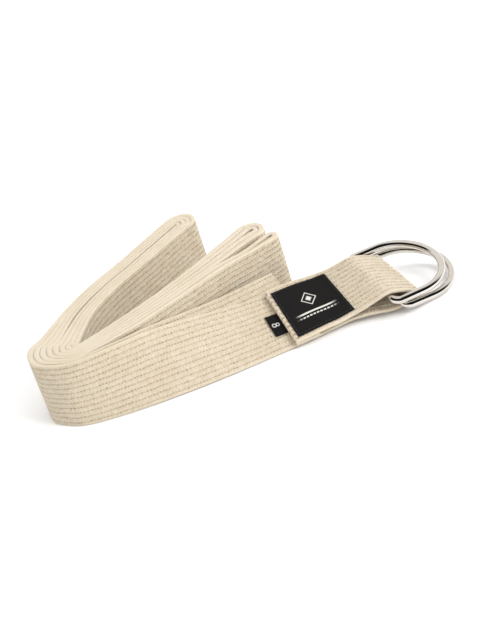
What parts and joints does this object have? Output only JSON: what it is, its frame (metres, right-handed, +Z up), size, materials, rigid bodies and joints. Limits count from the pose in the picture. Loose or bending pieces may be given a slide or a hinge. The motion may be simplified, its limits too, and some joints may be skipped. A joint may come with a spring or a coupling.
{
  "type": "stretching strap",
  "caption": "Cotton webbing strap folded into a flat bundle on edge, with metal D-rings in a sewn end loop, a woven label and a size tab.",
  "frame": {"origin": "centre of the bounding box's base, on the floor under the folded strap", "axes": "+X along the longest extent, from the shared turn of the folds towards the rings; +Y away from the labelled side; +Z up, across the webbing's width"},
  "size_m": [0.2348, 0.1392, 0.0382],
  "materials": {
    "cotton": "matt natural cotton webbing with woven ribs",
    "ring_metal": "bright nickel plate",
    "label": "fine black woven label",
    "tab": "black ribbon",
    "label_thread": "black sewing thread",
    "thread": "natural sewing thread"
  },
  "bodies": {
    "strap": {"webbing": "cotton", "label": "label", "size_tab": "tab", "label_stitching": "label_thread", "hem_stitching": "thread"},
    "upper_ring": {"d_ring_upper": "ring_metal"},
    "lower_ring": {"d_ring_lower": "ring_metal"}
  },
  "joints": [
    {"name": "upper_ring_hinge", "type": "hinge", "parent": "strap", "child": "upper_ring", "pos_m": [0.07106, -0.04163, 0.01631], "axis": [0.3319, -0.9118, -0.2419], "range_deg": [0, 95]},
    {"name": "lower_ring_hinge", "type": "hinge", "parent": "strap", "child": "lower_ring", "pos_m": [0.07606, -0.0395, 0.01089], "axis": [0.3319, -0.9118, -0.2419], "range_deg": [0, 1.5]}
  ]
}
